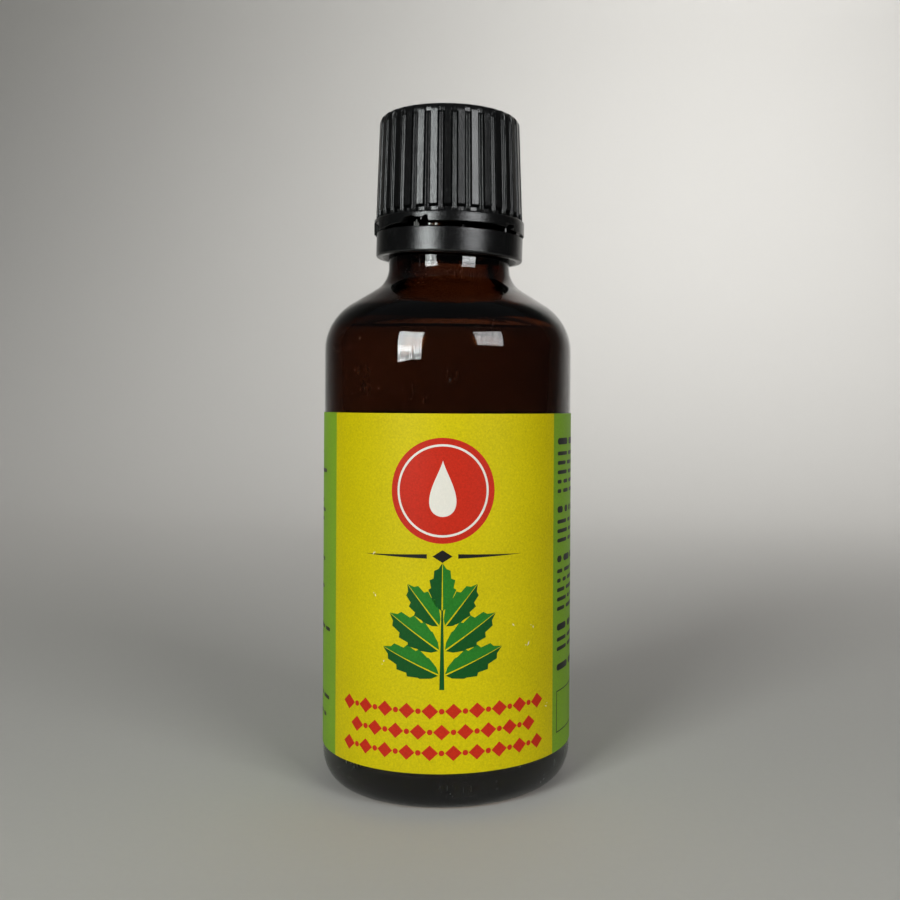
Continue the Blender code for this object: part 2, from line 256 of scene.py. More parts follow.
def turned_mesh(bands, azimuths, closed=False):
    """Outline bands turned about Z. A band is (points, relief), and relief gives (out, up) in
    millimetres from the azimuth and the height."""
    bm = bmesh.new()
    rings = []
    for points, relief in bands:
        for radius, height in points:
            if radius < 0.0001:
                rings.append([bm.verts.new((0.0, 0.0, height * MM))])
                continue
            ring = []
            for azimuth in azimuths:
                out, up = relief(azimuth, height) if relief else (0.0, 0.0)
                ring.append(bm.verts.new(at_azimuth(radius + out, azimuth, height + up)))
            rings.append(ring)
    for lower, upper in zip(rings, rings[1:]):
        bridge_rings(bm, lower, upper)
    if closed:
        bridge_rings(bm, rings[-1], rings[0])
    return bm


def even_azimuths(count):
    return [360.0 * i / count for i in range(count)]


def thread_relief(azimuth, height, thread):
    """How far a right-handed thread stands out of its wall; it fades in and out at its ends."""
    last = thread["first"] + thread["turns"] * 360.0
    rise = 0.0
    for turn in range(-1, 3):
        along = azimuth - 90.0 + 360.0 * turn
        if not thread["first"] <= along <= last:
            continue
        middle = thread["start"] + PITCH * along / 360.0
        flank = min(1.0, max(0.0, (CREST_HALF + FLANK - abs(height - middle)) / FLANK))
        fade = min(1.0, (along - thread["first"]) / THREAD_FADE_DEG, (last - along) / THREAD_FADE_DEG)
        rise = max(rise, thread["crest"] * flank * eased(fade, 0.0, 1.0))
    return rise


# Shader building

def place(tree, kind, wires=None, values=None, **settings):
    """Adds a node, sets its settings and socket values, and wires its inputs."""
    node = tree.nodes.new(kind)
    for key, value in settings.items():
        setattr(node, key, value)
    for key, value in (values or {}).items():
        node.inputs[key].default_value = value
    for key, source in (wires or {}).items():
        tree.links.new(source, node.inputs[key])
    return node


def new_group(name, inputs, outputs):
    """A shader node group with named sockets; returns its tree and its two end nodes."""
    tree = bpy.data.node_groups.new(name, "ShaderNodeTree")
    for label, kind, value in inputs:
        socket = tree.interface.new_socket(label, in_out="INPUT", socket_type=kind)
        socket.default_value = value
    for label, kind in outputs:
        tree.interface.new_socket(label, in_out="OUTPUT", socket_type=kind)
    return tree, place(tree, "NodeGroupInput"), place(tree, "NodeGroupOutput")


def object_space(tree):
    """Coordinates that stay with the piece."""
    return place(tree, "ShaderNodeTexCoord").outputs["Object"]


def calculate(tree, operation, *parts):
    """The result of a Math node; each part is a socket or a plain number."""
    node = place(tree, "ShaderNodeMath", operation=operation)
    for socket, part in zip(node.inputs, parts):
        if isinstance(part, bpy.types.NodeSocket):
            tree.links.new(part, socket)
        else:
            socket.default_value = part
    return node.outputs[0]


def ramp(tree, source, low, high, to_low=0.0, to_high=1.0, **settings):
    """The result of a Map Range node, held between its two ends."""
    node = place(tree, "ShaderNodeMapRange", {"Value": source},
                 {"From Min": low, "From Max": high, "To Min": to_low, "To Max": to_high}, **settings)
    return node.outputs[0]


def noise(tree, scale, detail):
    """Noise of a fixed scale that stays with the piece."""
    node = place(tree, "ShaderNodeTexNoise", {"Vector": object_space(tree)},
                 {"Scale": scale, "Detail": detail})
    return node.outputs["Fac"]


def scaled_noise(tree, coordinates, scale_source, factor, detail, roughness=0.5):
    """Noise whose scale is a group input times a factor."""
    scale = calculate(tree, "MULTIPLY", scale_source, factor)
    node = place(tree, "ShaderNodeTexNoise", {"Vector": coordinates, "Scale": scale},
                 {"Detail": detail, "Roughness": roughness})
    return node.outputs["Fac"]


def bumped(tree, height, strength, distance, wires=None):
    """The normal of a Bump node over a height."""
    node = place(tree, "ShaderNodeBump", {"Height": height, **(wires or {})},
                 {"Strength": strength, "Distance": distance})
    return node.outputs[0]


def make_moulded_grain_group():
    """The fine, uneven skin that a steel mould leaves on plastic."""
    tree, given, out = new_group(
        "moulded_grain",
        [("Scale", "NodeSocketFloat", 3000.0), ("Base", "NodeSocketFloat", 0.35),
         ("Spread", "NodeSocketFloat", 0.1)],
        [("Roughness", "NodeSocketFloat"), ("Height", "NodeSocketFloat")])
    where = object_space(tree)
    fine = scaled_noise(tree, where, given.outputs["Scale"], 1.0, 3.0)
    coarse = scaled_noise(tree, where, given.outputs["Scale"], 0.12, 2.0)
    both = calculate(tree, "ADD", fine, coarse)
    centred = calculate(tree, "SUBTRACT", both, 1.0)
    rough = calculate(tree, "MULTIPLY_ADD", centred, given.outputs["Spread"], given.outputs["Base"])
    tree.links.new(rough, out.inputs["Roughness"])
    tree.links.new(both, out.inputs["Height"])
    return tree


def make_scuffs_group():
    """Hair-thin handling scratches: two crossing sets of stretched noise, thinned by large patches."""
    tree, given, out = new_group(
        "handling_scuffs",
        [("Scale", "NodeSocketFloat", 2500.0), ("Amount", "NodeSocketFloat", 0.5)],
        [("Mask", "NodeSocketFloat")])
    where = object_space(tree)
    streaks = []
    for turn_deg in (38.0, -44.0):
        laid = place(tree, "ShaderNodeMapping", {"Vector": where},
                     {"Rotation": (math.radians(turn_deg), math.radians(turn_deg / 2), math.radians(12.0)),
                      "Scale": (1.0, 1.0, 0.14)})
        drawn = scaled_noise(tree, laid.outputs[0], given.outputs["Scale"], 1.0, 1.0)
        streaks.append(ramp(tree, drawn, 0.63, 0.74))
    lines = calculate(tree, "MAXIMUM", *streaks)
    patches = scaled_noise(tree, where, given.outputs["Scale"], 0.03, 2.0)
    thinned = calculate(tree, "MULTIPLY", lines, ramp(tree, patches, 0.47, 0.66))
    mask = calculate(tree, "MULTIPLY", thinned, given.outputs["Amount"])
    tree.links.new(mask, out.inputs["Mask"])
    return tree


def make_print_grain_group():
    """Paper fibre and ink mottle: fine speckle and broad unevenness of one printed colour."""
    tree, given, out = new_group(
        "print_grain",
        [("Colour", "NodeSocketColor", (0.5, 0.5, 0.5, 1.0)), ("Scale", "NodeSocketFloat", 4000.0),
         ("Speckle", "NodeSocketFloat", 0.2)],
        [("Colour", "NodeSocketColor"), ("Height", "NodeSocketFloat")])
    where = object_space(tree)
    fine = scaled_noise(tree, where, given.outputs["Scale"], 1.0, 2.0, 0.7)
    broad = scaled_noise(tree, where, given.outputs["Scale"], 0.02, 2.0)
    both = calculate(tree, "MULTIPLY_ADD", broad, 0.25, calculate(tree, "MULTIPLY", fine, 0.75))
    centred = calculate(tree, "SUBTRACT", both, 0.5)
    gain = calculate(tree, "MULTIPLY_ADD", centred, given.outputs["Speckle"], 1.0)
    shaded = place(tree, "ShaderNodeVectorMath", {0: given.outputs["Colour"], "Scale": gain},
                   operation="SCALE")
    tree.links.new(shaded.outputs[0], out.inputs["Colour"])
    tree.links.new(fine, out.inputs["Height"])
    return tree


MOULDED_GRAIN = make_moulded_grain_group()
SCUFFS = make_scuffs_group()
PRINT_GRAIN = make_print_grain_group()


def blank_material(name):
    """A new material with its Principled shader and output: (material, tree, shader, output)."""
    made = bpy.data.materials.new(name)
    made.use_nodes = True
    tree = made.node_tree
    return made, tree, tree.nodes["Principled BSDF"], tree.nodes["Material Output"]


def place_group(tree, group, **values):
    return place(tree, "ShaderNodeGroup", values=values, node_tree=group)


def let_lamps_through(tree, shader, output):
    """Clear material: shadow rays pass, so that lamps light what stands behind it."""
    passing = place(tree, "ShaderNodeBsdfTransparent", values={"Color": (0.92, 0.92, 0.92, 1.0)})
    path = place(tree, "ShaderNodeLightPath")
    mixed = place(tree, "ShaderNodeMixShader", {0: path.outputs["Is Shadow Ray"]})
    tree.links.new(shader.outputs[0], mixed.inputs[1])
    tree.links.new(passing.outputs[0], mixed.inputs[2])
    tree.links.new(mixed.outputs[0], output.inputs["Surface"])


def clear_material(name, refraction, tint, density):
    """A see-through material whose colour comes from its depth: (material, tree, shader)."""
    made, tree, shader, output = blank_material(name)
    shader.inputs["Base Color"].default_value = (1.0, 1.0, 1.0, 1.0)
    shader.inputs["Metallic"].default_value = 0.0
    shader.inputs["IOR"].default_value = refraction
    shader.inputs["Transmission Weight"].default_value = 1.0
    depth = place(tree, "ShaderNodeVolumeAbsorption", values={"Color": (*tint, 1.0), "Density": density})
    tree.links.new(depth.outputs[0], output.inputs["Volume"])
    let_lamps_through(tree, shader, output)
    return made, tree, shader


def make_amber_glass():
    """Brown bottle glass, slightly wavy, with hair-thin scratches."""
    made, tree, shader = clear_material("amber_bottle_glass", 1.52, (0.56, 0.34, 0.13), 1100.0)
    scuffs = place_group(tree, SCUFFS, Scale=4200.0, Amount=0.9)
    rough = ramp(tree, scuffs.outputs["Mask"], 0.0, 1.0, 0.012, 0.42)
    tree.links.new(rough, shader.inputs["Roughness"])
    tree.links.new(bumped(tree, noise(tree, 190.0, 1.0), 0.07, 0.0004), shader.inputs["Normal"])
    return made


def make_dark_tincture():
    """Clear brown herbal tincture, with a faint unevenness at its surface."""
    made, tree, shader = clear_material("brown_tincture", 1.36, (0.36, 0.20, 0.06), 72.0)
    rough = ramp(tree, noise(tree, 420.0, 3.0), 0.45, 0.8, 0.0, 0.05)
    tree.links.new(rough, shader.inputs["Roughness"])
    return made


def make_plastic(name, dark, light, grain_scale, gloss, gloss_spread, relief, scuffed):
    """Moulded plastic: two close colours by large patches, grain in its gloss, and light scuffs."""
    made, tree, shader, _ = blank_material(name)
    shade = place(tree, "ShaderNodeMix", {"Factor": noise(tree, 260.0, 4.0)}, data_type="RGBA")
    shade.inputs[6].default_value = (*dark, 1.0)
    shade.inputs[7].default_value = (*light, 1.0)
    scuffs = place_group(tree, SCUFFS, Scale=3400.0, Amount=scuffed)
    worn = place(tree, "ShaderNodeMix", {"Factor": scuffs.outputs["Mask"], 6: shade.outputs[2]},
                 data_type="RGBA")
    worn.inputs[7].default_value = (*[min(1.0, 0.03 + 1.1 * part) for part in light], 1.0)
    tree.links.new(worn.outputs[2], shader.inputs["Base Color"])
    grain = place_group(tree, MOULDED_GRAIN, Scale=grain_scale, Base=gloss, Spread=gloss_spread)
    tree.links.new(grain.outputs["Roughness"], shader.inputs["Roughness"])
    tree.links.new(bumped(tree, grain.outputs["Height"], relief, 0.00006), shader.inputs["Normal"])
    return made


def make_print(name, colour, speckle, roughness):
    """Printed paper in one colour: fibre grain, ink mottle and a low, even sheen."""
    made, tree, shader, _ = blank_material(name)
    grain = place_group(tree, PRINT_GRAIN, Colour=(*colour, 1.0), Scale=3800.0, Speckle=speckle)
    tree.links.new(grain.outputs["Colour"], shader.inputs["Base Color"])
    fibre = grain.outputs["Height"]
    rough = ramp(tree, fibre, 0.0, 1.0, roughness - 0.06, roughness + 0.06)
    tree.links.new(rough, shader.inputs["Roughness"])
    cockled = bumped(tree, noise(tree, 130.0, 2.0), 0.12, 0.0004)
    tree.links.new(bumped(tree, fibre, 0.15, 0.00003, {"Normal": cockled}), shader.inputs["Normal"])
    shader.inputs["Specular IOR Level"].default_value = 0.12
    return made


AMBER_GLASS = make_amber_glass()
DARK_TINCTURE = make_dark_tincture()
BLACK_PLASTIC = make_plastic("black_moulded_plastic", (0.0030, 0.0030, 0.0031), (0.0050, 0.0050, 0.0050),
                             grain_scale=5200.0, gloss=0.20, gloss_spread=0.16, relief=0.5, scuffed=0.45)
# Light grey torn plastic: partly stress whitening, partly painted glint on the torn strands.
TORN_PLASTIC_PAINTED_GLINT = make_plastic("torn_plastic_painted_glint", (0.01, 0.01, 0.01), (0.11, 0.11, 0.10),
                            grain_scale=9000.0, gloss=0.3, gloss_spread=0.3, relief=0.9, scuffed=0.3)
LINER_FOAM = make_plastic("expanded_liner_foam", (0.70, 0.70, 0.68), (0.84, 0.84, 0.82),
                          grain_scale=3200.0, gloss=0.68, gloss_spread=0.2, relief=1.0, scuffed=0.1)
YELLOW_PAPER = make_print("yellow_printed_paper", (0.57, 0.47, 0.001), 0.9, 0.5)
LIME_PAPER = make_print("lime_printed_paper", (0.19, 0.35, 0.020), 0.8, 0.5)
# The white paper's back and cut edges are coloured dark grey: painted shade along the label's rim.
PAPER_EDGE_PAINTED_SHADE = make_print("paper_edge_painted_shade", (0.32, 0.30, 0.26), 0.2, 0.7)
RED_INK = make_print("red_ink", (0.50, 0.022, 0.008), 0.9, 0.46)
LEAF_INK = make_print("leaf_green_ink", (0.020, 0.17, 0.016), 0.9, 0.46)
DEEP_LEAF_INK = make_print("deep_green_ink", (0.006, 0.075, 0.012), 0.9, 0.46)
BLACK_INK = make_print("black_ink", (0.012, 0.012, 0.010), 0.3, 0.42)
WHITE_INK = make_print("white_ink", (0.74, 0.70, 0.62), 0.2, 0.5)


# Glass bottle and its tincture

def shoulder(body_radius, arc_radius, neck_radius, fillet, steps):
    """The outline from the neck down over the shoulder to the body: fillet, cone and round."""
    slope = math.radians(SHOULDER_ANGLE)
    round_centre = (body_radius - arc_radius, SHOULDER_START)
    cone_low_radius = round_centre[0] + arc_radius * math.cos(slope)
    cone_low_height = round_centre[1] + arc_radius * math.sin(slope)
    corner_height = cone_low_height + (cone_low_radius - neck_radius) / math.tan(slope)
    fillet_centre = (neck_radius + fillet, corner_height + fillet * math.tan(slope / 2))
    upper = arc(fillet_centre, (fillet, fillet), 180.0, 180.0 + SHOULDER_ANGLE, steps)
    lower = arc(round_centre, (arc_radius, arc_radius), SHOULDER_ANGLE, 0.0, steps)
    return upper + lower


def inner_outline(wetted=0.0):
    """The inside of the glass from the floor's centre up its wall; wetted sinks it into the glass."""
    radius = BODY_RADIUS - WALL + wetted
    floor = FLOOR_TOP - wetted
    corner = arc((radius - FLOOR_CORNER, floor + FLOOR_CORNER), (FLOOR_CORNER, FLOOR_CORNER), -90.0, 0.0, 8)
    over = shoulder(radius, INNER_SHOULDER_RADIUS + wetted, BORE_RADIUS + wetted, BORE_FILLET - wetted, 12)
    wall = straight(corner[-1], over[-1], 14)[1:-1]
    return [(0.0, floor)] + corner + wall + over[::-1]


def inner_wave(azimuth, height):
    """The slightly uneven wall inside a blown bottle, level at the floor and round in the bore."""
    turn = math.radians(azimuth)
    climb = height / 11.0
    wave = math.sin(2.0 * turn + climb) + 0.6 * math.sin(3.0 * turn - 1.7 * climb)
    return GLASS_WAVE * wave * eased(height, 5.0, 14.0) * (1.0 - eased(height, 66.0, 76.0)), 0.0


def mould_seam(azimuth, height):
    """The two parting lines of the blow mould, hardly raised."""
    nearest = min(abs(from_middle(azimuth, seam)) for seam in SEAMS)
    return SEAM_HEIGHT * (1.0 - eased(nearest, 0.0, SEAM_HALF_DEG)), 0.0


def neck_finish(azimuth, height):
    return thread_relief(azimuth, height, NECK_THREAD), 0.0


def foot_stipple(azimuth, height):
    """Short radial grips moulded into the ring that the bottle stands on."""
    wave = 0.5 - 0.5 * math.cos(math.radians(azimuth) * FOOT_STIPPLES)
    return 0.0, FOOT_STIPPLE_DEPTH * wave


def glass_azimuths():
    """Even columns, with closer ones where the parting lines stand."""
    columns = set(even_azimuths(288))
    for seam in SEAMS:
        columns.update(seam + SEAM_HALF_DEG * step / 2 for step in (-2, -1, 0, 1, 2))
    return sorted(columns)


def make_glass_bottle():
    lip = 0.5
    mouth = arc((BORE_RADIUS + lip, MOUTH - lip), (lip, lip), 180.0, 90.0, 4)
    mouth += arc((FINISH_RADIUS - lip, MOUTH - lip), (lip, lip), 90.0, 0.0, 4)
    finish = straight((FINISH_RADIUS, MOUTH - lip), (FINISH_RADIUS, FINISH_BOTTOM), 34)[1:]
    bead = arc((BEAD_RADIUS - 0.25, BEAD[1] - 0.25), (0.25, 0.25), 60.0, 0.0, 3)
    bead += arc((BEAD_RADIUS - 0.2, BEAD[0] + 0.2), (0.2, 0.2), 0.0, -90.0, 3)
    outside = shoulder(BODY_RADIUS, SHOULDER_RADIUS, NECK_RADIUS, NECK_FILLET, 20)
    body = straight(outside[-1], (BODY_RADIUS, HEEL[1]), 20)[1:-1]
    heel = arc((BODY_RADIUS - HEEL[0], HEEL[1]), HEEL, 0.0, -90.0, 14)
    foot_inner = BODY_RADIUS - HEEL[0] - FOOT_WIDTH
    foot = [(foot_inner + FOOT_WIDTH - 0.25, 0.0), (foot_inner + FOOT_WIDTH / 2, 0.0), (foot_inner, 0.0)]
    push_up = arc((0.0, 0.0), (foot_inner - 0.4, PUSH_UP), 8.0, 90.0, 12)[:-1] + [(0.0, PUSH_UP)]
    bands = [
        (inner_outline(), inner_wave),
        (mouth, None),
        (finish, neck_finish),
        (bead + [(NECK_RADIUS + 0.05, BEAD[0])], None),
        (outside + body, mould_seam),
        (heel, None),
        (foot, foot_stipple),
        (push_up, None),
    ]
    bm = turned_mesh(bands, glass_azimuths())
    finished_object("amber_bottle", bm, [AMBER_GLASS], "bottle", ["glass_bottle"])


def make_tincture():
    """The liquid wets the glass, so its skin lies just inside the wall, with a raised edge on top."""
    outline = [point for point in inner_outline(WETTING) if point[1] < FILL_LEVEL + MENISCUS - 0.05]
    low, last = outline[-1], inner_outline(WETTING)[len(outline)]
    share = (FILL_LEVEL + MENISCUS - low[1]) / (last[1] - low[1])
    edge = low[0] + (last[0] - low[0]) * share
    surface = [(edge, FILL_LEVEL + MENISCUS)]
    surface += [(edge - 0.15 - 2.4 * step, FILL_LEVEL + MENISCUS * math.exp(-5.0 * step))
                for step in (0.1, 0.25, 0.5, 1.0)]
    surface.append((0.0, FILL_LEVEL))
    bm = turned_mesh([(outline, inner_wave), (surface, None)], even_azimuths(180))
    finished_object("brown_tincture", bm, [DARK_TINCTURE], "bottle", ["tincture"])


# Label: paper and print, drawn flat and wrapped round the bottle

def wrap(point, radius):
    """A place on the label, in millimetres, as a point in metres on a cylinder."""
    azimuth = DESIGN_AZIMUTH + math.degrees(point[0] / PAPER_OUTER)
    return at_azimuth(radius, azimuth, point[1])


def wrapped_piece(name, shapes, radii, materials, replaces=()):
    """Closed thin solid from flat outlines. shapes are (outline, material index) and radii are
    (inner, outer). The index is for the outer face, and the rest takes the first material."""
    bm = bmesh.new()
    for outline, index in shapes:
        face = bm.faces.new([bm.verts.new((x, y, 0.0)) for x, y in outline])
        face.material_index = index
    bmesh.ops.remove_doubles(bm, verts=bm.verts, dist=0.0005)
    bmesh.ops.triangulate(bm, faces=bm.faces, quad_method="BEAUTY", ngon_method="EAR_CLIP")
    low = min(vert.co.x for vert in bm.verts)
    high = max(vert.co.x for vert in bm.verts)
    for cut in range(math.ceil(low / WRAP_STEP), math.floor(high / WRAP_STEP) + 1):
        everything = bm.verts[:] + bm.edges[:] + bm.faces[:]
        bmesh.ops.bisect_plane(bm, geom=everything, dist=0.00001, plane_co=(cut * WRAP_STEP, 0.0, 0.0),
                               plane_no=(1.0, 0.0, 0.0))
    lifted = bmesh.ops.extrude_face_region(bm, geom=bm.faces[:], use_keep_orig=True)
    raised = {item for item in lifted["geom"] if isinstance(item, bmesh.types.BMVert)}
    for face in bm.faces:
        if not all(vert in raised for vert in face.verts):
            face.material_index = 0
    for vert in bm.verts:
        vert.co = wrap((vert.co.x, vert.co.y), radii[1] if vert in raised else radii[0])
    finished_object(name, bm, materials, "bottle", replaces)


def along(azimuth):
    """Millimetres round the label from the middle of the design to an azimuth."""
    return math.radians(azimuth - DESIGN_AZIMUTH) * PAPER_OUTER


def corner_points(x, y, radius, start_deg):
    """A quarter round at a corner whose centre of curvature is (x, y)."""
    return [
        (x + radius * math.cos(math.radians(start_deg + 15.0 * i)),
         y + radius * math.sin(math.radians(start_deg + 15.0 * i)))
        for i in range(7)
    ]


def make_label_paper():
    """One sheet round the bottle: yellow at the front, lime behind, corners rounded at the seam."""
    left, right = along(LABEL_SEAM_DEG[0]), along(LABEL_SEAM_DEG[1])
    yellow_left, yellow_right = along(YELLOW_EDGES_DEG[0]), along(YELLOW_EDGES_DEG[1])
    low, high, corner = LABEL_BOTTOM, LABEL_TOP, LABEL_CORNER
    left_side = [(yellow_left, high)]
    left_side += corner_points(left + corner, high - corner, corner, 90.0)
    left_side += corner_points(left + corner, low + corner, corner, 180.0)
    left_side.append((yellow_left, low))
    right_side = [(yellow_right, low)]
    right_side += corner_points(right - corner, low + corner, corner, 270.0)
    right_side += corner_points(right - corner, high - corner, corner, 0.0)
    right_side.append((yellow_right, high))
    yellow = [(yellow_left, low), (yellow_right, low), (yellow_right, high), (yellow_left, high)]
    shapes = [(left_side, 1), (yellow, 2), (right_side, 1)]
    # The back and edges take the dark grey paper, which is painted shade along the rim.
    wrapped_piece("label_paper", shapes, (PAPER_INNER, PAPER_OUTER), [PAPER_EDGE_PAINTED_SHADE, LIME_PAPER, YELLOW_PAPER],
                  replaces=["label"])


def print_piece(name, outlines, ink, lift=INK_LIFT):
    """A printed motif, a hair proud of the paper."""
    shapes = [(outline, 0) for outline in outlines]
    wrapped_piece(name, shapes, (PAPER_OUTER - 0.004, PAPER_OUTER + lift), [ink])


def disc(centre, radius, points=72):
    return [(centre[0] + radius * math.cos(2.0 * math.pi * i / points),
             centre[1] + radius * math.sin(2.0 * math.pi * i / points)) for i in range(points)]


def ring_of_quads(outer, inner):
    """Quads between two outlines of as many points each."""
    count = len(outer)
    return [[outer[i], outer[(i + 1) % count], inner[(i + 1) % count], inner[i]] for i in range(count)]


def drop(centre, width, height, points=48):
    """A falling drop, pointed at the top."""
    outline = []
    for i in range(points):
        turn = 2.0 * math.pi * i / points
        narrowing = math.sin(turn / 2.0) ** 1.7
        outline.append((centre[0] - width / 2 * math.sin(turn) * narrowing,
                        centre[1] + height / 2 * math.cos(turn)))
    return outline


def bar(centre, length, height):
    """A rounded dash."""
    half, radius = length / 2, height / 2
    run = max(0.0, half - radius)
    right = [(centre[0] + run + radius * math.cos(math.radians(a)),
              centre[1] + radius * math.sin(math.radians(a))) for a in range(-90, 91, 30)]
    left = [(centre[0] - run - radius * math.cos(math.radians(a)),
             centre[1] - radius * math.sin(math.radians(a))) for a in range(-90, 91, 30)]
    return right + left


def lozenge(centre, width, height):
    x, y = centre
    return [(x - width / 2, y), (x, y - height / 2), (x + width / 2, y), (x, y + height / 2)]


def leaf_half(length, width, side, teeth=5, rib=0.10):
    """One half of a toothed leaf that lies along +X from its stalk, with a gap left for the midrib."""
    points = [(0.0, side * rib)]
    steps = teeth * 2
    for i in range(1, steps):
        share = i / steps
        half = width / 2 * math.sin(math.pi * share ** 0.85) ** 0.9
        tooth = i % 2 == 0
        points.append((length * (share + (0.045 if tooth else -0.02)),
                       side * (rib + half * (1.0 if tooth else 0.80))))
    points.append((length, side * 0.03))
    return points if side > 0 else points[::-1]


def placed(outline, at, turn_deg):
    """An outline turned and moved to its place on the label."""
    cosine, sine = math.cos(math.radians(turn_deg)), math.sin(math.radians(turn_deg))
    return [(at[0] + x * cosine - y * sine, at[1] + x * sine + y * cosine) for x, y in outline]


# The design on the label. LEAVES gives each pair's height, lean in degrees, length and width, and
# TOP_LEAF a height, length and width. STALK is its foot and tip, and KEYLINE its two radii.
BADGE_MIDDLE = (0.0, 43.6)
BADGE_RADIUS = 7.1
KEYLINE = (5.95, 6.25)
DROP_SIZE = (5.4, 7.6)
DIVIDER_HEIGHT = 34.8
DIVIDER_HALF = 11.5
STALK = (16.9, 27.6)
LEAVES = ((18.6, 66.0, 8.6, 3.9), (21.9, 55.0, 8.4, 3.9), (25.2, 38.0, 7.0, 3.5))
TOP_LEAF = (27.2, 6.4, 3.6)
BAND_ROWS = (14.0, 11.2, 8.4)
BAND_STEP = 3.2
DATE_BOX = (16.0, 6.0)


def make_badge():
    """A red roundel with a white keyline and a drop."""
    print_piece("badge_disc", [disc(BADGE_MIDDLE, BADGE_RADIUS)], RED_INK)
    outer, inner = disc(BADGE_MIDDLE, KEYLINE[1]), disc(BADGE_MIDDLE, KEYLINE[0])
    print_piece("badge_keyline", ring_of_quads(outer, inner), WHITE_INK, OVERPRINT_LIFT)
    x, y = BADGE_MIDDLE
    print_piece("badge_drop", [drop((x, y + 0.3), *DROP_SIZE)], WHITE_INK, OVERPRINT_LIFT)


def make_sprig():
    """An upright sprig: a tapering stalk, three pairs of toothed leaves and one at the top."""
    light, deep = [], []
    for height, spread_deg, length, width in LEAVES:
        for side in (-1, 1):
            turn = 90.0 - side * spread_deg
            foot = (side * 0.45, height + 0.3)
            light.append(placed(leaf_half(length, width, side), foot, turn))
            deep.append(placed(leaf_half(length, width, -side), foot, turn))
    height, length, width = TOP_LEAF
    light.append(placed(leaf_half(length, width, -1), (0.0, height + 0.3), 90.0))
    deep.append(placed(leaf_half(length, width, 1), (0.0, height + 0.3), 90.0))
    stalk = [(-0.34, STALK[0]), (0.34, STALK[0]), (0.12, STALK[1]), (-0.12, STALK[1])]
    print_piece("sprig_light_leaf", light, LEAF_INK)
    print_piece("sprig_deep_leaf", deep + [stalk], DEEP_LEAF_INK)


def make_divider():
    """A thin black rule with a lozenge in its middle."""
    left = [(-DIVIDER_HALF, DIVIDER_HEIGHT), (-2.1, DIVIDER_HEIGHT - 0.3), (-2.1, DIVIDER_HEIGHT + 0.3)]
    right = [(DIVIDER_HALF, DIVIDER_HEIGHT), (2.1, DIVIDER_HEIGHT + 0.3), (2.1, DIVIDER_HEIGHT - 0.3)]
    print_piece("divider", [left, right, lozenge((0.0, DIVIDER_HEIGHT), 2.7, 1.7)], BLACK_INK)


def make_red_band():
    """Three rows of lozenges and dots, each row set half a step from the next."""
    outlines = []
    for row, height in enumerate(BAND_ROWS):
        count = 10 if row % 2 == 0 else 9
        for i in range(count):
            x = (i - (count - 1) / 2) * BAND_STEP
            outlines.append(lozenge((x, height), 2.3, 2.1))
            if i < count - 1:
                outlines.append(disc((x + BAND_STEP / 2, height), 0.38, 16))
    print_piece("red_band", outlines, RED_INK)


def small_print(start, end, top, bottom, seed):
    """Rows of short dashes in place of fine print, in paragraphs with a heavier first row."""
    draw = random.Random(seed)
    outlines = []
    height = top
    rows_left = 0
    while height > bottom:
        first_row = rows_left == 0
        if first_row:
            rows_left = draw.randint(3, 6)
        thick = 0.95 if first_row else 0.55
        x = start
        row_end = start + (end - start) * (0.55 if first_row else draw.uniform(0.72, 1.0))
        while x < row_end - 1.0:
            length = min(draw.uniform(1.1, 4.4), row_end - x)
            outlines.append(bar((x + length / 2, height), length, thick))
            x += length + 0.75
        rows_left -= 1
        height -= 1.75 if first_row else 1.35
        if rows_left == 0:
            height -= 1.3
    return outlines


def make_side_print():
    """Fine print on both lime sides, and an empty box for a date."""
    margin, seam_margin = 1.2, 3.0
    left = (along(LABEL_SEAM_DEG[0]) + seam_margin, along(YELLOW_EDGES_DEG[0]) - margin)
    right = (along(YELLOW_EDGES_DEG[1]) + margin, along(LABEL_SEAM_DEG[1]) - seam_margin)
    outlines = small_print(left[0], left[1], LABEL_TOP - 4.0, LABEL_BOTTOM + 4.0, 4)
    outlines += small_print(right[0], right[1], LABEL_TOP - 4.0, LABEL_BOTTOM + 11.0, 11)
    box_low, box_high = LABEL_BOTTOM + 2.6, LABEL_BOTTOM + 2.6 + DATE_BOX[1]
    box_left, box_right = right[0], right[0] + DATE_BOX[0]
    outer = [(box_left, box_low), (box_right, box_low), (box_right, box_high), (box_left, box_high)]
    line = 0.16
    inner = [(box_left + line, box_low + line), (box_right - line, box_low + line),
             (box_right - line, box_high - line), (box_left + line, box_high - line)]
    print_piece("side_print", outlines + ring_of_quads(outer, inner), BLACK_INK)


# Each chip's place along the label, height and length
SCUFFS_ON_LABEL = ((-9.9, 34.9, 0.55), (-9.6, 29.2, 0.35), (10.1, 25.1, 0.45), (12.7, 22.2, 0.7),
                   (13.6, 24.4, 0.4), (-8.2, 20.4, 0.3), (16.4, 12.8, 0.5))


def make_label_scuffs():
    """Small chips in the ink where the white paper shows."""
    draw = random.Random(21)
    outlines = []
    for x, y, length in SCUFFS_ON_LABEL:
        turn = draw.uniform(30.0, 150.0)
        chip = [(-length / 2, 0.0), (-length * 0.1, -0.07), (length / 2, 0.02), (length * 0.12, 0.09)]
        outlines.append(placed(chip, (x, y), turn))
        outlines.append(placed([(0.0, -0.06), (0.07, 0.0), (0.0, 0.06), (-0.06, 0.0)],
                               (x + draw.uniform(-0.5, 0.5), y + draw.uniform(-0.5, 0.5)), turn))
    print_piece("label_scuffs", outlines, WHITE_INK, OVERPRINT_LIFT)


# Dropper insert and liner

def air_groove(azimuth, height):
    """A narrow groove down one side of the insert's stem."""
    away = abs(from_middle(azimuth, AIR_GROOVE["middle"]))
    depth = AIR_GROOVE["depth"] * (1.0 - eased(away, 2.0, 7.0))
    return -depth * (1.0 - eased(height, AIR_GROOVE["top"], AIR_GROOVE["top"] + 0.5)), 0.0


